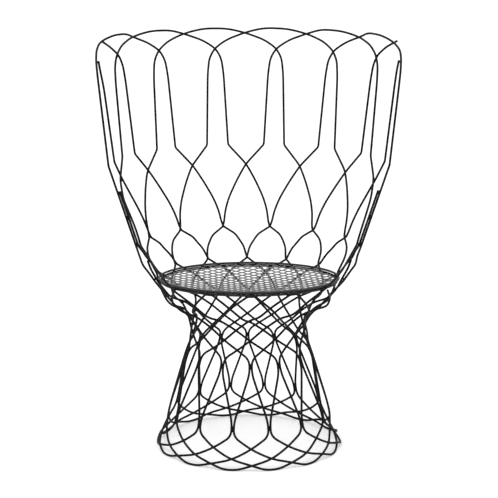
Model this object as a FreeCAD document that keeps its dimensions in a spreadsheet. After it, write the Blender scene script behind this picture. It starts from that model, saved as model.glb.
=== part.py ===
import FreeCAD, Part
import math
import os

# An outdoor armchair made as a net of bent steel rods, welded where they cross.
# The net is one turned surface: a flared skirt, a narrow waist, a basket round the seat
# and a high back that ends in overlapping arches. The front of the basket is open.
# The origin lies on the floor under the axis of the net, +Z is up and the sitter faces -Y.

# Driving dimensions in millimetres, and one angle in degrees.
SIZES = {
    "rod_diameter": 5.5,
    "weld_gap": 0.3,
    "bend_radius": 14.0,
    "back_height": 1008.0,
    "seat_height": 426.0,
    "waist_height": 298.0,
    "back_radius": 368.0,
    "seat_radius": 232.0,
    "waist_radius": 142.0,
    "foot_radius": 229.0,
    "seat_tilt": 2.8,
    "mesh_thickness": 1.6,
    "mesh_diamond_width": 29.4,
    "mesh_diamond_depth": 32.0,
    "mesh_strand": 2.4,
    "mesh_border": 6.0,
}

# Fourteen rods lean each way round the net. One pitch is the angle between neighbours.
ROD_COUNT = 14
ARCH_COUNT = 6
FIRST_ARCH = 1
LAST_BACK_TURN = FIRST_ARCH + ARCH_COUNT
BACK_CENTRE_TURN = LAST_BACK_TURN / 2

doc = FreeCAD.newDocument("outdoor_armchair")
sheet = doc.addObject("Spreadsheet::Sheet", "Sizes")
for row, (alias, value) in enumerate(SIZES.items(), start=1):
    sheet.set("A%d" % row, alias)
    sheet.set("B%d" % row, str(value))
    sheet.setAlias("B%d" % row, alias)
doc.recompute()


def size(alias):
    return float(sheet.get(alias))


ROD = size("rod_diameter")
ROD_RADIUS = ROD / 2
LAYER = ROD + size("weld_gap")
PITCH_ANGLE = 2 * math.pi / ROD_COUNT

# The outline of the turned surface, from the arches down to the floor. Each band runs
# between two named levels, and each ring lies at a share of that band's height and radius.
BAND_ENDS = {
    "back": ("seat_height", "back_height", "seat_radius", "back_radius"),
    "funnel": ("waist_height", "seat_height", "waist_radius", "seat_radius"),
}
RING_SHARES = [
    ("crown", "back", 1.0, 0.882),
    ("haunch", "back", 0.978, 1.0),
    ("neck", "back", 0.911, 0.926),
    ("knee", "back", 0.483, 0.735),
    ("lattice", "back", 0.397, 0.662),
    ("shoulder", "back", 0.129, 0.301),
    ("flare", "back", 0.070, 0.199),
    ("seating", "funnel", 1.0, 1.0),
    ("under_seat", "funnel", 0.750, 0.789),
    ("bowl", "funnel", 0.531, 0.611),
    ("funnel", "funnel", 0.438, 0.267),
    ("waist_top", "funnel", 0.219, 0.044),
    ("waist", "funnel", 0.0, 0.0),
    ("waist_foot", "skirt", 0.923, 0.0),
    ("tie", "skirt", 0.798, 0.184),
    ("pinch", "skirt", 0.306, 0.655),
    ("ankle", "skirt", 0.151, 0.759),
    ("heel", "skirt", 0.074, 0.874),
    ("toe", "skirt", 0.035, 0.966),
    ("floor", "skirt", 0.0, 1.0),
]


def ring_place(band, height_share, radius_share):
    """Radius and height of a ring of the turned surface."""
    if band == "skirt":
        low, high = ROD_RADIUS, size("waist_height")
        height = low + height_share * (high - low)
        radius = size("waist_radius") + radius_share * (size("foot_radius") - size("waist_radius"))
        return radius, height
    low, high, inner, outer = [size(alias) for alias in BAND_ENDS[band]]
    return inner + radius_share * (outer - inner), low + height_share * (high - low)


RING_NAMES = [name for name, band, height_share, radius_share in RING_SHARES]
RINGS = [ring_place(band, high, wide) for name, band, high, wide in RING_SHARES]


def ring_normal(index):
    """Outward direction of the surface at a ring, as its radial and vertical parts."""
    if index == len(RINGS) - 1:
        return 1.0, 0.0
    above = RINGS[max(index - 1, 0)]
    below = RINGS[index + 1]
    out, down = below[0] - above[0], below[1] - above[1]
    length = math.hypot(out, down)
    return -down / length, out / length


def surface(ring, share):
    """Place and outward direction at a share of the way from a ring to the next one down."""
    index = RING_NAMES.index(ring)
    after = min(index + 1, len(RINGS) - 1)
    near, far = RINGS[index], RINGS[after]
    near_out, far_out = ring_normal(index), ring_normal(after)
    place = [a + share * (b - a) for a, b in zip(near, far)]
    out = [a + share * (b - a) for a, b in zip(near_out, far_out)]
    length = math.hypot(*out)
    return place, (out[0] / length, out[1] / length)


def net_point(turn, ring, share, layer):
    """A point of a rod's centre line. Turns count pitches round the net from the left arm,
    and layers count rod spacings out from the surface."""
    (radius, height), out = surface(ring, share)
    radius += layer * LAYER * out[0]
    height += layer * LAYER * out[1]
    angle = (turn - BACK_CENTRE_TURN) * PITCH_ANGLE
    return FreeCAD.Vector(radius * math.sin(angle), radius * math.cos(angle), height)


def touch_turn(ring, share):
    """Half the turn between two rods that lie side by side."""
    (radius, height), out = surface(ring, share)
    return LAYER / 2 / (radius * PITCH_ANGLE)


# Bends take this share of the shorter of their two straight runs.
BEND_RUN_SHARE = 0.45
STRAIGHT_TURN = math.radians(0.05)


def bent_path(points, tight):
    """Straight runs joined by tangent arcs. Each arc is as large as its runs allow, but the
    corners in the set named tight keep the rod's own bend radius."""
    edges = []
    start = points[0]
    for index in range(1, len(points) - 1):
        corner = points[index]
        into = corner - points[index - 1]
        away = points[index + 1] - corner
        room = BEND_RUN_SHARE * min(into.Length, away.Length)
        into.normalize()
        away.normalize()
        half_turn = into.getAngle(away) / 2
        if half_turn < STRAIGHT_TURN:
            continue
        radius = room / math.tan(half_turn)
        if index in tight:
            radius = min(radius, size("bend_radius"))
        setback = radius * math.tan(half_turn)
        inside = away - into
        inside.normalize()
        enter = corner - into * setback
        middle = corner + inside * (radius / math.cos(half_turn) - radius)
        leave = corner + away * setback
        edges.append(Part.LineSegment(start, enter).toShape())
        edges.append(Part.Arc(enter, middle, leave).toShape())
        start = leave
    edges.append(Part.LineSegment(start, points[-1]).toShape())
    return Part.Wire(edges)


sub_parts = []


def add_rod(name, points, tight=()):
    """A round rod swept along its bent centre line."""
    path = doc.addObject("Part::Feature", name + "_path")
    path.Shape = bent_path(points, tight)
    section = doc.addObject("Part::Circle", name + "_section")
    section.setExpression("Radius", "Sizes.rod_diameter / 2")
    along = points[1] - points[0]
    section.Placement = FreeCAD.Placement(points[0], FreeCAD.Rotation(FreeCAD.Vector(0, 0, 1), along))
    rod = doc.addObject("Part::Sweep", name)
    rod.Sections = [section]
    rod.Spine = (path, ["Edge%d" % (number + 1) for number in range(len(path.Shape.Edges))])
    rod.Solid = True
    rod.Frenet = False
    rod.Label = name
    sub_parts.append(rod)


# The stations of a back leg, counted in turns from its arch's apex. Each row holds the turn,
# the ring, the share of the way to the next ring, how much of its family's layer the rod
# keeps, and how many half layers it stands out besides.
ARCH_SHARES = [
    (0.20, "crown", 0.0, 0.3, 0),
    (0.50, "haunch", 0.0, 1.14, 0),
    (0.80, "haunch", 0.45, 1, 0),
    (1.00, "neck", 0.0, 1, 0),
    (1.095, "neck", 0.1, 1, 0),
    (1.13, "neck", 0.26, 1, 0),
    (1.185, "knee", 0.0, 1, 0),
]
LEG_SHARES = [
    (1.50, "lattice", 0.0, 1, 0),
    (1.60, "lattice", 0.15, 1, 0),
    (1.69, "lattice", 0.29, 1, 0),
    (1.84, "lattice", 0.54, 1, 0),
    (1.925, "lattice", 0.74, 1, 0),
    (1.965, "lattice", 0.92, 1, 0),
]
BASKET_SHARES = [
    (2.0, "shoulder", 0.0, 1, 0),
    (2.25, "shoulder", 0.56, 1, 0),
    (2.34, "flare", 0.0, 1, 0),
    (2.43, "flare", 0.37, 1, 0),
    (2.5, "seating", 0.0, 1, 0),
]
# The edge leg of the outermost arch runs down outside the others and keeps to its side.
EDGE_ARCH_SHARES = [
    (0.20, "crown", 0.0, 0.3, 0),
    (0.50, "haunch", 0.0, 1.14, 0),
    (0.80, "haunch", 0.45, 0, 2),
    (1.00, "neck", 0.0, 0, 3),
    (1.095, "neck", 0.1, 0, 3),
    (1.13, "neck", 0.26, 0, 3),
    (1.185, "knee", 0.0, 0, 3),
    (1.14, "lattice", 0.0, 0, 1),
    (1.06, "lattice", 0.5, 0, 1),
]
EDGE_BASKET_SHARES = [
    (1.0, "shoulder", 0.0, 0, 1),
    (1.25, "shoulder", 0.56, 0.5, 0.5),
    (1.36, "flare", 0.0, 0, 1.5),
    (1.44, "flare", 0.37, 0, 1),
    (1.5, "seating", 0.0, 0, 1),
]
# The leg that runs on from the shoulder, past the side of the seat, to the front.
FRONT_LEG_SHARES = [
    (1.50, "lattice", 0.0, 1, 0),
    (1.60, "lattice", 0.15, 1, 0),
    (1.69, "lattice", 0.29, 1, 0),
    (1.84, "lattice", 0.54, 0.3, -2),
    (1.925, "lattice", 0.74, 0, -3),
    (1.965, "lattice", 0.92, 0, -3),
    (2.0, "shoulder", 0.0, 0, -3),
    (3.0, "flare", 0.4, 0, -3),
    (3.5, "seating", 0.0, 1, 0),
]
# The half arch starts against the inside of the outermost arch.
HALF_ARCH_TOP_SHARES = [
    (0.50, "haunch", 0.0, 2.0, 0),
]
# The side leg starts against the edge leg at the neck, and the short leg further down.
SIDE_TOP_SHARES = [
    (1.00, "neck", 0.0, 0, 1),
    (1.095, "neck", 0.1, 0, 1),
    (1.13, "neck", 0.26, 0.5, 0.5),
    (1.185, "knee", 0.0, 1, 0),
]
SHORT_TOP_SHARES = [
    (1.876, "lattice", 0.1, 0, -1),
    (1.94, "lattice", 0.5, 0, -1),
    (2.0, "shoulder", 0.0, 0, -1),
    (2.25, "shoulder", 0.56, 0.5, -0.5),
]
# The corners that are bent tight: the knee, the shoulder and the seat crossing.
TIGHT_RINGS = ("knee", "shoulder", "seating")

RIGHT, LEFT = 1, -1


# Below the seat crossing a rod runs straight to its next crossing. A back leg is cut off on
# that run and a base rod carries it on. A base rod's free end lies at the run's top.
SPLICE_SHARE = 0.3
FREE_START_SHARE = 0.06
RIGHT_EDGE_TURN = LAST_BACK_TURN + 0.5


def seating_layer(turn, side):
    """The layer of a rod at its seat crossing. The edge legs lie outside on both sides."""
    return side / 2 if turn % ROD_COUNT == RIGHT_EDGE_TURN else -side / 2


def seat_run_point(turn, side, share, further):
    """A point on the straight run that a rod makes from its seat crossing downwards."""
    top = net_point(turn, "seating", 0.0, seating_layer(turn, side))
    run = net_point(turn + side * 0.5, "under_seat", 0.0, -side / 2) - top
    return top + run * (share + further / run.Length)


def leg_points(apex, side, stations):
    """Stations as points, and the cut below the seat. Rods that lean right on their way down
    keep the inner layer."""
    points = []
    for turn, ring, share, family, out in stations:
        layer = (out - side * family) / 2
        points.append(net_point(apex + side * turn, ring, share, layer))
    last_turn = apex + side * stations[-1][0]
    points.append(seat_run_point(last_turn, side, SPLICE_SHARE, -size("weld_gap") / 2))
    return points


def tight_corners(stations):
    return [index for index, row in enumerate(stations) if row[1] in TIGHT_RINGS and row[2] == 0]


REGULAR_LEG = ARCH_SHARES + LEG_SHARES + BASKET_SHARES
FRONT_LEG = ARCH_SHARES + FRONT_LEG_SHARES
EDGE_LEG = EDGE_ARCH_SHARES + EDGE_BASKET_SHARES
HALF_ARCH_LEG = HALF_ARCH_TOP_SHARES + REGULAR_LEG[2:]
SIDE_LEG = SIDE_TOP_SHARES + LEG_SHARES + BASKET_SHARES
SHORT_LEG = SHORT_TOP_SHARES + BASKET_SHARES[2:]


def leg_of(arch, side):
    """Which run of stations a leg of an arch follows. The mirror arch swaps its sides."""
    from_edge = arch - FIRST_ARCH if side == LEFT else FIRST_ARCH + ARCH_COUNT - 1 - arch
    return {0: EDGE_LEG, 1: FRONT_LEG}.get(from_edge, REGULAR_LEG)


def add_arch(arch):
    left = leg_of(arch, LEFT)
    right = leg_of(arch, RIGHT)
    left_points = leg_points(arch, LEFT, left)
    right_points = leg_points(arch, RIGHT, right)
    tight = [len(left) - index for index in tight_corners(left)]
    tight += [len(left_points) + index for index in tight_corners(right)]
    add_rod("back_arch_%d" % arch, left_points[::-1] + right_points, tight)


def add_leg(name, apex, side, stations):
    add_rod(name, leg_points(apex, side, stations), tight_corners(stations))


for arch in range(FIRST_ARCH, FIRST_ARCH + ARCH_COUNT):
    add_arch(arch)
for name, stations, steps in (
    ("half_arch", HALF_ARCH_LEG, 0),
    ("side_leg", SIDE_LEG, 1),
    ("short_leg", SHORT_LEG, 2),
):
    add_leg(name + "_left", -steps, RIGHT, stations)
    add_leg(name + "_right", LAST_BACK_TURN + steps, LEFT, stations)

# The stations of half a base rod, counted in turns from where it leaves the seat. The other
# half mirrors it. A touch of 1 or -1 sets the rod beside its neighbour instead of across it.
BASE_SHARES = [
    (0.5, "under_seat", 0.0, 1.1, 0),
    (0.79, "bowl", 0.0, 1, 0),
    (1.0, "funnel", 0.0, 1, 0),
    (1.5, "waist_top", 0.0, 1, 0),
    (2.0, "waist", 0.0, 1, 0),
    (2.5, "waist_foot", 0.0, 1.14, 0),
    (3.0, "waist_foot", 0.57, 0, -1),
    (3.0, "tie", 0.11, 0, -1),
    (2.5, "tie", 0.88, 0, 1),
    (2.5, "pinch", 0.35, 0, 1),
    (3.0, "ankle", 0.0, 1.15, 0),
    (3.5, "heel", 0.0, 1, 0),
    (4.0, "toe", 0.0, 1.1, 0),
    (4.34, "floor", 0.0, 0.4, 0),
]
FULL_TURNS = 9
# The base rods whose ends carry a back leg. Of the others, two at a time meet in a rounded
# peak under the front of the seat, one on each side runs up along the edge leg, and one on
# each side ends free where it crosses the front leg.
SPLICED_STARTS = range(0, 9)
SPLICED_ENDS = range(3, 12)
PEAK_STARTS = range(9, 12)
PEAK_ENDS = range(0, 3)
PEAK_TURN_SHARE = 0.09
PEAK_LAYER = -0.55
TUCKED_STARTS = (13,)
TUCKED_ENDS = (12,)
# The rod that runs up inside the edge leg ends under the front leg. Each row holds the turn
# on from the seat crossing, the ring, the share of the way to the next ring and the layer.
TUCK_SHARES = [
    (0.05, "shoulder", 0.8, -1.8),
    (0.03, "flare", 0.3, -1.05),
]


def top_points(turn, side, joint):
    """The top of a base rod: a splice to a leg, a free end, a tucked end or half a peak."""
    splice = seat_run_point(turn, side, SPLICE_SHARE, size("weld_gap") / 2)
    if joint == "splice":
        return [splice]
    if joint == "free":
        return [seat_run_point(turn, side, FREE_START_SHARE, 0), splice]
    if joint == "tuck":
        tuck = [net_point(turn + side * further, *place) for further, *place in TUCK_SHARES]
        return tuck + [net_point(turn, "seating", 0.0, seating_layer(turn, side))]
    peak = net_point(turn, "seating", 0.0, PEAK_LAYER)
    corner = net_point(turn + side * PEAK_TURN_SHARE, "seating", 0.0, PEAK_LAYER)
    along = corner - peak
    return [peak + along * (size("weld_gap") / 2 / along.Length), corner]


def base_half(first_turn, side, joint):
    """Points of half a base rod, from the seat down to the middle of its floor arc."""
    points = top_points(first_turn, side, joint)
    for turn, ring, share, family, touch in BASE_SHARES:
        turn += touch * touch_turn(ring, share)
        points.append(net_point(first_turn + side * turn, ring, share, -side * family / 2))
    return points


def top_joint(number, spliced, peaked, tucked):
    """What the top of a base rod meets."""
    if number in spliced:
        return "splice"
    if number in tucked:
        return "tuck"
    return "peak" if number in peaked else "free"


for number in range(ROD_COUNT):
    start_joint = top_joint(number, SPLICED_STARTS, PEAK_STARTS, TUCKED_STARTS)
    end_joint = top_joint(number, SPLICED_ENDS, PEAK_ENDS, TUCKED_ENDS)
    down = base_half(number + 0.5, RIGHT, start_joint)
    up = base_half(number + 0.5 + FULL_TURNS, LEFT, end_joint)
    add_rod("base_rod_%02d" % (number + 1), down + up[::-1])

# The seat is an expanded metal disc held between two hoops. The hoops lie inside the cone of
# rods that runs from the seat crossings down to the next ones, and tilt back with the seat.
TILT = math.radians(size("seat_tilt"))
SEATING, UNDER = RINGS[RING_NAMES.index("seating")], RINGS[RING_NAMES.index("under_seat")]
CONE_LENGTH = math.hypot(SEATING[0] - UNDER[0], SEATING[1] - UNDER[1])
CONE_SLOPE = (SEATING[0] - UNDER[0]) / (SEATING[1] - UNDER[1])
CONE_OUT = ((SEATING[1] - UNDER[1]) / CONE_LENGTH, (UNDER[0] - SEATING[0]) / CONE_LENGTH)
ROD_SAG = size("seat_radius") * (1 - math.cos(PITCH_ANGLE / 4))
HOOP_CLEARANCE = LAYER / 2 + LAYER + ROD_SAG
HOOP_STEP = ROD + size("mesh_thickness") + 2 * size("weld_gap")


def cone_radius(height):
    """Radius of a hoop's centre line that clears the inner rods by the weld gap."""
    guide_radius = SEATING[0] - HOOP_CLEARANCE * CONE_OUT[0]
    guide_height = SEATING[1] - HOOP_CLEARANCE * CONE_OUT[1]
    return guide_radius + CONE_SLOPE * (height - guide_height)


UPPER_HEIGHT = size("seat_height")
HOOP_RADIUS = cone_radius(UPPER_HEIGHT)
BACK_HEIGHT = UPPER_HEIGHT - HOOP_RADIUS * math.sin(TILT)
SEAT_SHIFT = cone_radius(BACK_HEIGHT) - HOOP_RADIUS * math.cos(TILT)
SEAT_ROTATION = FreeCAD.Rotation(FreeCAD.Vector(1, 0, 0), -size("seat_tilt"))


def seat_placement(drop):
    """Placement of a seat piece a given way below the upper hoop, square to the seat."""
    centre = FreeCAD.Vector(0, SEAT_SHIFT, UPPER_HEIGHT)
    return FreeCAD.Placement(centre + SEAT_ROTATION.multVec(FreeCAD.Vector(0, 0, -drop)), SEAT_ROTATION)


LOWER_HOOP_RADIUS = cone_radius(UPPER_HEIGHT - HOOP_STEP)


def add_hoop(name, radius, drop):
    hoop = doc.addObject("Part::Torus", name)
    hoop.Radius1 = radius
    hoop.setExpression("Radius2", "Sizes.rod_diameter / 2")
    hoop.Placement = seat_placement(drop)
    hoop.Label = name
    sub_parts.append(hoop)


add_hoop("seat_hoop_upper", HOOP_RADIUS, 0)
add_hoop("seat_hoop_lower", LOWER_HOOP_RADIUS, HOOP_STEP)


def diamond(x, y, half_width, half_depth):
    corners = [(x - half_width, y), (x, y - half_depth), (x + half_width, y), (x, y + half_depth)]
    points = [FreeCAD.Vector(px, py, 0) for px, py in corners]
    return Part.makePolygon(points + points[:1])


def mesh_face(radius):
    """A round face with a diamond gap at each place of the net where a whole one fits."""
    width, depth = size("mesh_diamond_width"), size("mesh_diamond_depth")
    strand = size("mesh_strand")
    half_width = width / 2 - strand / 2 * math.hypot(width, depth) / depth
    half_depth = depth / 2 - strand / 2 * math.hypot(width, depth) / width
    limit = radius - size("mesh_border")
    wires = [Part.Wire(Part.makeCircle(radius))]
    columns = int(radius / width) + 1
    rows = int(radius / depth) + 1
    for column in range(-2 * columns, 2 * columns + 1):
        for row in range(-rows, rows + 1):
            x = column * width / 2
            y = (row + (column % 2) / 2) * depth
            reach = max(math.hypot(abs(x) + half_width, y), math.hypot(x, abs(y) + half_depth))
            if reach < limit:
                wires.append(diamond(x, y, half_width, half_depth))
    return Part.makeFace(wires, "Part::FaceMakerBullseye")


MESH_RADIUS = HOOP_RADIUS - ROD_RADIUS - size("weld_gap")
outline = doc.addObject("Part::Feature", "seat_mesh_outline")
outline.Shape = mesh_face(MESH_RADIUS)
mesh = doc.addObject("Part::Extrusion", "seat_mesh")
mesh.Base = outline
mesh.DirMode = "Custom"
mesh.Dir = FreeCAD.Vector(0, 0, 1)
mesh.Solid = True
mesh.setExpression("LengthFwd", "Sizes.mesh_thickness")
mesh.Placement = seat_placement(HOOP_STEP / 2 + size("mesh_thickness") / 2)
mesh.Label = "seat_mesh"
sub_parts.append(mesh)

doc.recompute()

os.makedirs("parts", exist_ok=True)
for item in doc.Objects:
    if "Invalid" in item.State or "Error" in item.State:
        raise RuntimeError("%s did not build: %s" % (item.Name, item.State))
for item in sub_parts:
    shape = item.Shape
    if shape.isNull() or not shape.isValid() or len(shape.Solids) != 1:
        raise RuntimeError("%s is not one valid solid" % item.Label)
for item in sub_parts:
    item.Shape.exportStep("parts/%s.step" % item.Label)
print("%d pieces, mesh gaps %d" % (len(sub_parts), len(outline.Shape.Wires) - 1))
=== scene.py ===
import itertools
import math

import bpy
import numpy as np
from mathutils import Matrix, Vector
from mathutils.bvhtree import BVHTree
from mathutils.kdtree import KDTree


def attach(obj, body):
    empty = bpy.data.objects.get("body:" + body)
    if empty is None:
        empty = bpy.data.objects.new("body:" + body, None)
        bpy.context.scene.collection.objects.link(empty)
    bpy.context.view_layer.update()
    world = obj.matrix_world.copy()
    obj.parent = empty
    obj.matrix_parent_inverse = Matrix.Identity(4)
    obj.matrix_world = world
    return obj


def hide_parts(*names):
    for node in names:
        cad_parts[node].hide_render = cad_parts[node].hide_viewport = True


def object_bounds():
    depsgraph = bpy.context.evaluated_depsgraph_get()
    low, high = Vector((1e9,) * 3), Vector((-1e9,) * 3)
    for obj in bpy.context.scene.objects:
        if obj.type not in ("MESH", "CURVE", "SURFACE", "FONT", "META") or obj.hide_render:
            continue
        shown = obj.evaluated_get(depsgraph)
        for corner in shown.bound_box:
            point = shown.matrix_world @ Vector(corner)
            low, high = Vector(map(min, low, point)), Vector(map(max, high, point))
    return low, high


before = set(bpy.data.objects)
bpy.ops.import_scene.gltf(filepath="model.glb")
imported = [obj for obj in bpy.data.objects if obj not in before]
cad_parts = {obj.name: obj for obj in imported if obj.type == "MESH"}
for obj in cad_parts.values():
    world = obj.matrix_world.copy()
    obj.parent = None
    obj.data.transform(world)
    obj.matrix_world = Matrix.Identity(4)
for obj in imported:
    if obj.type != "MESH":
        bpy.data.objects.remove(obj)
cad_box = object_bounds()

# The photograph's camera, found from the rings of the net. Lengths are in metres, apart from
# the sensor's width in millimetres. The chair is turned a little away from the camera.
PHOTO_SIDE = 498
FOCAL_PIXELS = 1742
SENSOR_WIDTH = 36
CAMERA_HEIGHT = 1.352
CAMERA_DISTANCE = 4.19
CAMERA_PITCH = math.radians(11.56)
CHAIR_TURN = math.radians(1.45)

# The expanded sheet of the seat, a shallow dish of zigzag strands. A strand's rear edge is
# tipped up, and its bonds overlap those of the next strand a little.
DIAMOND_WIDTH = 0.0294
DIAMOND_DEPTH = 0.032
STRAND_WIDTH = 0.0033
STRAND_THICKNESS = 0.0015
STRAND_TILT = math.radians(32)
CHAMFER_SHARE = 0.6
BOND_LENGTH = 0.0045
BOND_OVERLAP_SHARE = 0.14
SEAT_SAG = 0.0105
SAG_POWER = 2
# How near to its front or rear end a point of the CAD sheet lies to count as part of that edge.
EDGE_BAND = 0.00075
# The flattened border of the sheet, which the two hoops clasp. It rises outwards.
BORDER_WIDTH = 0.0070
BORDER_THICKNESS = 0.0021
BORDER_RISE = math.radians(7)
BORDER_STEPS = 360

# The welds. Two rods are welded where their surfaces come within reach of each other.
WELD_REACH = 0.0014
WELD_STEP = 0.006
WELD_SEAM = 0.014
WELD_SEAM_SPACING = 0.055
AXIS_REACH = 0.012
SAMPLE_STEP = 0.002
CROSS_BEAD = (0.0026, 0.0026, 0.0019)
SEAM_BEAD = (0.0060, 0.0022, 0.0017)
BUTT_BEAD = (0.0031, 0.0031, 0.0024)
# Rods are butted end to end where the gap between them runs along the rod this nearly.
BUTT_ALIGNMENT = 0.8
BUTT_SIDE = Vector((0.3, 0.7, 0.2))
BEAD_RINGS = 8
BEAD_SIDES = 12

# The coats: deep tone, pale tone, tone of upward faces (settled dust, and painted sheen), roughness and
# specular level of each.
COATS = {
    "rod_coat": ((0.0050, 0.0051, 0.0054), (0.0085, 0.0087, 0.0091), (0.030, 0.030, 0.031), 0.44, 0.10),
    # The hoop coat is the rods' black coat made paler, with a heavy pale top: painted light and a painted
    # highlight along the hoops' tops.
    "hoop_coat": ((0.0150, 0.0152, 0.0158), (0.0230, 0.0233, 0.0240), (0.095, 0.095, 0.096), 0.42, 0.32),
    "border_coat": ((0.0070, 0.0071, 0.0075), (0.0120, 0.0122, 0.0126), (0.030, 0.030, 0.031), 0.75, 0.0),
    # The mesh coat is mid grey and paler still on upward faces, which paints the sheen on the strands'
    # faces.
    "mesh_coat": ((0.0820, 0.0825, 0.0835), (0.1280, 0.1285, 0.1300), (0.310, 0.310, 0.313), 0.42, 0.5),
    "weld_coat": ((0.0048, 0.0049, 0.0052), (0.0080, 0.0082, 0.0086), (0.026, 0.026, 0.027), 0.38, 0.10),
}
# The noises of a coat: scale, detail and roughness of each.
TONE_NOISE = (26, 5, 0.62)
DUST_AND_SHEEN_NOISE = (90, 4, 0.7)
GLOSS_NOISE = (60, 4, 0.6)
GRAIN_NOISE = (1500, 3, 0.6)
RIPPLE_NOISE = (330, 1, 0.5)
# The bumps of a coat: strength, and height in metres.
GRAIN_BUMP = (0.35, 0.00012)
RIPPLE_BUMP = (0.09, 0.0002)
TONE_ENDS = (0.32, 0.68)
# Where the upward tone of dust and painted sheen shows: how far a face looks up, and in which patches.
DUST_AND_SHEEN_FACING = (0.25, 1.0)
DUST_AND_SHEEN_PATCHES = (0.15, 1.0)
ROUGHNESS_SPREAD = (-0.07, 0.1)

# The floor and the light. The camera alone sees the lifts, which make both plain white.
FLOOR_HALF_SIDE = 60
FLOOR_TONE = 0.93
FLOOR_ROUGHNESS = 0.9
FLOOR_SPECULAR = 0.1
FLOOR_LIFT = 0.32
WORLD_STRENGTH = 0.62
# The suns: strength, softness in degrees and direction of each.
SUNS = {
    "key_light": (0.95, 40, (0.5, 0.75, -1.6)),
    "fill_light": (0.35, 60, (-0.7, 0.3, -1.2)),
}


def node_points(node):
    return np.array([v.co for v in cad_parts[node].data.vertices], float)


def make_object(name, vertices, faces, smooth=True):
    mesh = bpy.data.meshes.new(name)
    mesh.from_pydata([tuple(v) for v in vertices], [], faces)
    mesh.validate()
    mesh.polygons.foreach_set("use_smooth", [smooth] * len(mesh.polygons))
    mesh.update()
    piece = bpy.data.objects.new(name, mesh)
    bpy.context.scene.collection.objects.link(piece)
    return piece


# Materials

def new_material(name):
    material = bpy.data.materials.new(name)
    material.use_nodes = True
    nodes, links = material.node_tree.nodes, material.node_tree.links
    shader = nodes["Principled BSDF"]
    place = nodes.new("ShaderNodeTexCoord").outputs["Object"]
    return material, nodes, links, shader, place


def add_noise(nodes, links, place, scale, detail, roughness):
    noise = nodes.new("ShaderNodeTexNoise")
    noise.inputs["Scale"].default_value = scale
    noise.inputs["Detail"].default_value = detail
    noise.inputs["Roughness"].default_value = roughness
    links.new(place, noise.inputs["Vector"])
    return noise.outputs["Fac"]


def add_range(nodes, links, value, low, high, from_low=0.3, from_high=0.7):
    spread = nodes.new("ShaderNodeMapRange")
    spread.inputs["From Min"].default_value = from_low
    spread.inputs["From Max"].default_value = from_high
    spread.inputs["To Min"].default_value = low
    spread.inputs["To Max"].default_value = high
    links.new(value, spread.inputs["Value"])
    return spread.outputs["Result"]


def add_bump(nodes, links, height, strength, distance, below=None):
    bump = nodes.new("ShaderNodeBump")
    bump.inputs["Strength"].default_value = strength
    bump.inputs["Distance"].default_value = distance
    links.new(height, bump.inputs["Height"])
    if below is not None:
        links.new(below, bump.inputs["Normal"])
    return bump.outputs["Normal"]


def powder_coat(name, deep, pale, dust_and_sheen, roughness, specular):
    """A fine textured coat: uneven in tone, grained, and paler on upward faces in patches: settled dust on
    the rods, border and welds, and a painted highlight and sheen on the hoops and mesh.
    """
    material, nodes, links, shader, place = new_material(name)
    tone = nodes.new("ShaderNodeValToRGB")
    for stop, position, colour in zip(tone.color_ramp.elements, TONE_ENDS, (deep, pale)):
        stop.position = position
        stop.color = (*colour, 1)
    links.new(add_noise(nodes, links, place, *TONE_NOISE), tone.inputs["Fac"])

    # Upward faces take the upward tone: settled dust, and on the hoops and mesh mostly a painted sheen.
    facing = nodes.new("ShaderNodeSeparateXYZ")
    links.new(nodes.new("ShaderNodeNewGeometry").outputs["Normal"], facing.inputs[0])
    upward_dust_and_sheen = add_range(nodes, links, facing.outputs["Z"], 0, 1, *DUST_AND_SHEEN_FACING)
    patches = add_range(nodes, links, add_noise(nodes, links, place, *DUST_AND_SHEEN_NOISE), *DUST_AND_SHEEN_PATCHES)
    amount = nodes.new("ShaderNodeMath")
    amount.operation = "MULTIPLY"
    links.new(upward_dust_and_sheen, amount.inputs[0])
    links.new(patches, amount.inputs[1])
    mix = nodes.new("ShaderNodeMix")
    mix.data_type = "RGBA"
    links.new(amount.outputs[0], mix.inputs["Factor"])
    links.new(tone.outputs["Color"], mix.inputs["A"])
    mix.inputs["B"].default_value = (*dust_and_sheen, 1)
    links.new(mix.outputs["Result"], shader.inputs["Base Color"])

    gloss = add_noise(nodes, links, place, *GLOSS_NOISE)
    smooth, rough = [roughness + change for change in ROUGHNESS_SPREAD]
    links.new(add_range(nodes, links, gloss, smooth, rough), shader.inputs["Roughness"])
    shader.inputs["Specular IOR Level"].default_value = specular
    grain = add_bump(nodes, links, add_noise(nodes, links, place, *GRAIN_NOISE), *GRAIN_BUMP)
    ripple = add_bump(nodes, links, add_noise(nodes, links, place, *RIPPLE_NOISE), *RIPPLE_BUMP, grain)
    links.new(ripple, shader.inputs["Normal"])
    return material


coats = {name: powder_coat(name, *look) for name, look in COATS.items()}


def paint(piece, material):
    piece.data.materials.clear()
    piece.data.materials.append(material)


# The hoops take the paler hoop coat, whose tone paints their lit look.
for node, cad_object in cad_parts.items():
    paint(cad_object, coats["hoop_coat" if node.startswith("seat_hoop") else "rod_coat"])


# The camera

def add_camera():
    camera = bpy.data.objects.new("camera", bpy.data.cameras.new("camera"))
    camera.data.sensor_width = SENSOR_WIDTH
    camera.data.lens = SENSOR_WIDTH * FOCAL_PIXELS / PHOTO_SIDE
    ahead = Vector((math.sin(CHAIR_TURN), math.cos(CHAIR_TURN), 0))
    camera.location = -CAMERA_DISTANCE * ahead + Vector((0, 0, CAMERA_HEIGHT))
    look = ahead * math.cos(CAMERA_PITCH) - Vector((0, 0, math.sin(CAMERA_PITCH)))
    camera.rotation_mode = "QUATERNION"
    camera.rotation_quaternion = look.to_track_quat("-Z", "Y")
    bpy.context.scene.collection.objects.link(camera)
    bpy.context.scene.camera = camera


add_camera()


# The expanded metal of the seat

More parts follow.
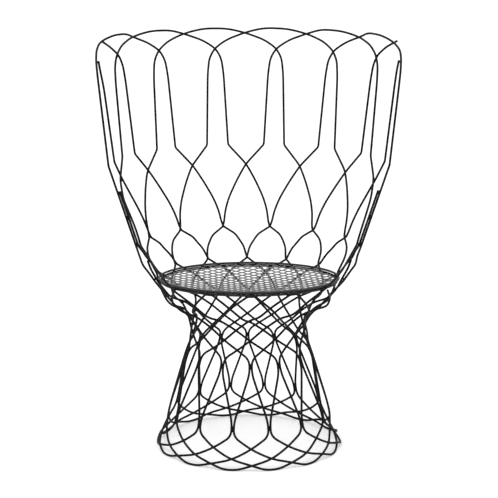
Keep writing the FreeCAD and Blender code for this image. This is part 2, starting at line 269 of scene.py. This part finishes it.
def seat_plane():
    """Centre of the seat sheet, its fall towards the back and its radius, from its CAD node."""
    points = node_points("seat_mesh")
    front = points[points[:, 1] < points[:, 1].min() + EDGE_BAND].mean(axis=0)
    back = points[points[:, 1] > points[:, 1].max() - EDGE_BAND].mean(axis=0)
    centre = Vector((0, (front[1] + back[1]) / 2, (front[2] + back[2]) / 2))
    radius = (points[:, 0].max() - points[:, 0].min()) / 2
    return centre, math.atan2(front[2] - back[2], back[1] - front[1]), radius


def strand_row(row, reach):
    """Corners of one strand's zigzag across the sheet. It is bonded to the next row at every
    other column, and to the row before at the columns between."""
    column_step, row_step = DIAMOND_WIDTH / 2, DIAMOND_DEPTH / 2
    swing = (row_step - (1 - BOND_OVERLAP_SHARE) * STRAND_WIDTH) / 2
    columns = int(reach / column_step) + 1
    corners = []
    for column in range(-columns, columns + 1):
        side = 1 if (column + row) % 2 == 0 else -1
        y = (row + 0.5) * row_step + side * swing
        corners.append(Vector((column * column_step - BOND_LENGTH / 2, y)))
        corners.append(Vector((column * column_step + BOND_LENGTH / 2, y)))
    return corners


def clip_to_circle(start, end, rim):
    """The part of a segment inside a circle about the origin, as shares of its length."""
    along = end - start
    a, b, c = along.dot(along), 2 * start.dot(along), start.dot(start) - rim * rim
    room = b * b - 4 * a * c
    if room <= 0:
        return 1, 0
    return max(0, (-b - math.sqrt(room)) / (2 * a)), min(1, (-b + math.sqrt(room)) / (2 * a))


def runs_within(corners, rim):
    """The stretches of a flat path that lie within a circle about the origin."""
    runs, run = [], []
    for start, end in zip(corners, corners[1:]):
        low, high = clip_to_circle(start, end, rim)
        if low >= high:
            continue
        if not run:
            run = [start.lerp(end, low)]
        run.append(start.lerp(end, high))
        if high < 1:
            runs.append(run)
            run = []
    return runs + ([run] if run else [])


def sideways(path):
    """For each point of a flat path, the way across it that keeps a strip's width in bends."""
    ways = [(b - a).normalized() for a, b in zip(path, path[1:])]
    across = []
    for into, away in zip(ways[:1] + ways, ways + ways[-1:]):
        middle = (into + away).normalized()
        across.append(Vector((-middle.y, middle.x)) / middle.dot(into))
    return across


def bar_section(width, thickness, tilt):
    """A tilted flat bar's section as pairs across and up, with chamfered corners."""
    half_width, half_thickness, cut = width / 2, thickness / 2, thickness / 2 * CHAMFER_SHARE
    corners = []
    for x, z in ((1, 1), (-1, 1), (-1, -1), (1, -1)):
        near, far = (half_width, half_thickness - cut), (half_width - cut, half_thickness)
        pair = (near, far) if x * z > 0 else (far, near)
        corners += [(x * a, z * b) for a, b in pair]
    turn = Matrix.Rotation(tilt, 2)
    return [turn @ Vector(corner) for corner in corners]


def add_tube(vertices, faces, rings):
    """A closed tube through rings of points."""
    sides = len(rings[0])
    first = len(vertices)
    for ring in rings:
        vertices += ring
    for step in range(len(rings) - 1):
        for k in range(sides):
            a, b = first + step * sides + k, first + step * sides + (k + 1) % sides
            faces.append((a, b, b + sides, a + sides))
    last = first + (len(rings) - 1) * sides
    faces.append(tuple(range(first + sides - 1, first - 1, -1)))
    faces.append(tuple(range(last, last + sides)))


def sheet_border(centre, turn, radius):
    """The border as a closed ring, at the rim of the sheet."""
    section = bar_section(BORDER_WIDTH, BORDER_THICKNESS, BORDER_RISE)
    middle = radius - max(out for out, up in section)
    sides = len(section)
    vertices, faces = [], []
    for step in range(BORDER_STEPS):
        angle = 2 * math.pi * step / BORDER_STEPS
        for out, up in section:
            reach = middle + out
            vertices.append(centre + turn @ Vector((reach * math.sin(angle), reach * math.cos(angle), up)))
    for step in range(BORDER_STEPS):
        here, after = step * sides, (step + 1) % BORDER_STEPS * sides
        for k in range(sides):
            beside = (k + 1) % sides
            faces.append((here + k, after + k, after + beside, here + beside))
    piece = make_object("seat_border", vertices, faces, smooth=False)
    paint(piece, coats["border_coat"])
    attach(piece, "root")


def expanded_metal():
    centre, fall, radius = seat_plane()
    rim = radius - BORDER_WIDTH / 2
    turn = Matrix.Rotation(-fall, 3, "X")
    section = bar_section(STRAND_WIDTH, STRAND_THICKNESS, STRAND_TILT)
    vertices, faces = [], []
    rows = int(rim / (DIAMOND_DEPTH / 2)) + 1
    for row in range(-rows - 1, rows + 1):
        for path in runs_within(strand_row(row, rim), rim):
            rings = []
            for point, across in zip(path, sideways(path)):
                sag = SEAT_SAG * (1 - (point.length / radius) ** SAG_POWER)
                ring = [Vector((*(point + across * out), up - sag)) for out, up in section]
                rings.append([centre + turn @ place for place in ring])
            add_tube(vertices, faces, rings)
    piece = make_object("expanded_seat", vertices, faces, smooth=False)
    # The mesh coat paints the strands' sheen as a mid grey with pale tops.
    paint(piece, coats["mesh_coat"])
    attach(piece, "root")
    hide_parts("seat_mesh")
    sheet_border(centre, turn, radius)


expanded_metal()


# The welds

def surface_samples(node):
    """Points along the long edges of a rod's mesh, close enough together to find a crossing."""
    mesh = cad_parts[node].data
    points = node_points(node)
    edges = np.array([edge.vertices[:] for edge in mesh.edges])
    start, end = points[edges[:, 0]], points[edges[:, 1]]
    counts = np.ceil(np.linalg.norm(end - start, axis=1) / SAMPLE_STEP).astype(int)
    found = [points]
    for count in range(2, int(counts.max()) + 1):
        chosen = counts == count
        for share in np.arange(1, count) / count:
            found.append(start[chosen] + (end[chosen] - start[chosen]) * share)
    return np.concatenate(found)


def near_points(samples, low, high, reach):
    return samples[np.all((samples > low - reach) & (samples < high + reach), axis=1)]


def main_axis(points):
    """The direction in which a cloud of points is longest."""
    offsets = np.asarray(points) - np.mean(points, axis=0)
    return Vector(np.linalg.svd(offsets, full_matrices=False)[2][0])


def groups(points):
    """Numbers of the points in each group. A group's points lie within a step of one another."""
    tree = KDTree(len(points))
    for number, point in enumerate(points):
        tree.insert(point, number)
    tree.balance()
    waiting, found = set(range(len(points))), []
    while waiting:
        frontier, members = [min(waiting)], []
        waiting.discard(frontier[0])
        while frontier:
            number = frontier.pop()
            members.append(number)
            for place, other, gap in tree.find_range(points[number], WELD_STEP):
                if other in waiting:
                    waiting.discard(other)
                    frontier.append(other)
        found.append(members)
    return found


def contacts(samples, box, tree):
    """Where a rod's surface comes within reach of another, as pairs of points."""
    pairs = []
    for point in near_points(samples, *box, WELD_REACH):
        hit = tree.find_nearest(Vector(point), WELD_REACH)[0]
        if hit is not None:
            pairs.append((Vector(point), hit))
    return pairs


def weld_spots(pairs):
    """Numbers of the pairs that are welded in one contact, and the way of its seam. A crossing
    has one weld and no seam."""
    middles = [(a + b) / 2 for a, b in pairs]
    along = main_axis(middles)
    places = [along.dot(middle) for middle in middles]
    low, high = min(places), max(places)
    if high - low < WELD_SEAM:
        return [min(range(len(pairs)), key=lambda k: (pairs[k][0] - pairs[k][1]).length)], None
    steps = max(1, round((high - low - WELD_SEAM) / WELD_SEAM_SPACING))
    inner_low, inner_high = low + WELD_SEAM / 2, high - WELD_SEAM / 2
    wanted = [inner_low + (inner_high - inner_low) * k / steps for k in range(steps + 1)]
    best = []
    for place in wanted:
        near = [k for k in range(len(pairs)) if abs(places[k] - place) < SAMPLE_STEP * 2]
        if near:
            best.append(min(near, key=lambda k: (pairs[k][0] - pairs[k][1]).length))
    return best, along


def bead_frame(across, along):
    """A turn whose Z lies across the gap and whose X lies along the seam."""
    up = across.normalized()
    forward = (along - up * along.dot(up)).normalized()
    return Matrix((forward, up.cross(forward), up)).transposed()


def local_axis(samples, place):
    near = near_points(samples, np.array(place), np.array(place), AXIS_REACH)
    return main_axis(near)


def within_box(point):
    """The point, or the nearest one within the box of the rods, so that no bead stands proud."""
    low, high = cad_box
    return [min(max(place, least), most) for place, least, most in zip(point, low, high)]


def rod_tree(node):
    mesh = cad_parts[node].data
    corners = [vertex.co for vertex in mesh.vertices]
    return BVHTree.FromPolygons(corners, [face.vertices[:] for face in mesh.polygons])


def contact_welds(group, samples):
    """The welds of one contact, each as its middle, its turn and its half sizes."""
    welds = []
    chosen, along = weld_spots(group)
    for a, b in [group[k] for k in chosen]:
        middle = (a + b) / 2
        across = b - a
        axis = local_axis(samples, middle)
        if abs(across.normalized().dot(axis)) > BUTT_ALIGNMENT:
            middle = sum(((p + q) / 2 for p, q in group), Vector()) / len(group)
            welds.append((middle, bead_frame(axis, BUTT_SIDE), BUTT_BEAD))
        else:
            welds.append((middle, bead_frame(across, axis), CROSS_BEAD if along is None else SEAM_BEAD))
    return welds


def weld_beads():
    names = sorted(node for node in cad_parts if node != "seat_mesh")
    samples = {node: surface_samples(node) for node in names}
    boxes = {node: (points.min(axis=0), points.max(axis=0)) for node, points in samples.items()}
    trees = {node: rod_tree(node) for node in names}
    vertices, faces = [], []
    for one, other in itertools.combinations(names, 2):
        pairs = contacts(samples[one], boxes[other], trees[other])
        for members in groups([a for a, b in pairs]):
            for weld in contact_welds([pairs[k] for k in members], samples[one]):
                add_bead(vertices, faces, *weld)
    piece = make_object("weld_beads", [within_box(vertex) for vertex in vertices], faces)
    paint(piece, coats["weld_coat"])
    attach(piece, "root")


def add_bead(vertices, faces, place, turn, radii):
    """A smooth closed bead with the given half sizes along the axes of its turn."""
    circles = []
    for ring in range(1, BEAD_RINGS):
        polar = math.pi * ring / BEAD_RINGS
        circle = []
        for side in range(BEAD_SIDES):
            around = 2 * math.pi * side / BEAD_SIDES
            reach = math.sin(polar)
            local = (reach * math.cos(around), reach * math.sin(around), math.cos(polar))
            circle.append(place + turn @ Vector([a * b for a, b in zip(local, radii)]))
        circles.append(circle)
    add_tube(vertices, faces, circles[::-1])


weld_beads()


# The floor and the light

def lifted(nodes, links, strength, lift):
    """A strength for light, and as much more as the lift where the camera sees it."""
    total = nodes.new("ShaderNodeMath")
    total.operation = "MULTIPLY_ADD"
    total.inputs[1].default_value = lift
    total.inputs[2].default_value = strength
    links.new(nodes.new("ShaderNodeLightPath").outputs["Is Camera Ray"], total.inputs[0])
    return total.outputs[0]


def add_floor():
    corners = [Vector((x, y, 0)) * FLOOR_HALF_SIDE for x, y in ((-1, -1), (1, -1), (1, 1), (-1, 1))]
    floor = make_object("floor", corners, [(0, 1, 2, 3)])
    material = bpy.data.materials.new("floor")
    material.use_nodes = True
    nodes, links = material.node_tree.nodes, material.node_tree.links
    shader = nodes["Principled BSDF"]
    shader.inputs["Base Color"].default_value = (FLOOR_TONE, FLOOR_TONE, FLOOR_TONE, 1)
    shader.inputs["Roughness"].default_value = FLOOR_ROUGHNESS
    shader.inputs["Specular IOR Level"].default_value = FLOOR_SPECULAR
    shader.inputs["Emission Color"].default_value = (1, 1, 1, 1)
    links.new(lifted(nodes, links, 0, FLOOR_LIFT), shader.inputs["Emission Strength"])
    paint(floor, material)


def add_world():
    world = bpy.data.worlds.new("studio")
    world.use_nodes = True
    nodes, links = world.node_tree.nodes, world.node_tree.links
    background = nodes["Background"]
    background.inputs["Color"].default_value = (1, 1, 1, 1)
    strength = lifted(nodes, links, WORLD_STRENGTH, 1 - WORLD_STRENGTH)
    links.new(strength, background.inputs["Strength"])
    bpy.context.scene.world = world


def add_sun(name, strength, softness, direction):
    sun = bpy.data.objects.new(name, bpy.data.lights.new(name, "SUN"))
    sun.data.energy = strength
    sun.data.angle = math.radians(softness)
    sun.rotation_mode = "QUATERNION"
    sun.rotation_quaternion = Vector(direction).to_track_quat("-Z", "Y")
    bpy.context.scene.collection.objects.link(sun)


add_floor()
add_world()
for name, settings in SUNS.items():
    add_sun(name, *settings)

view = bpy.context.scene.view_settings
view.view_transform = "Standard"
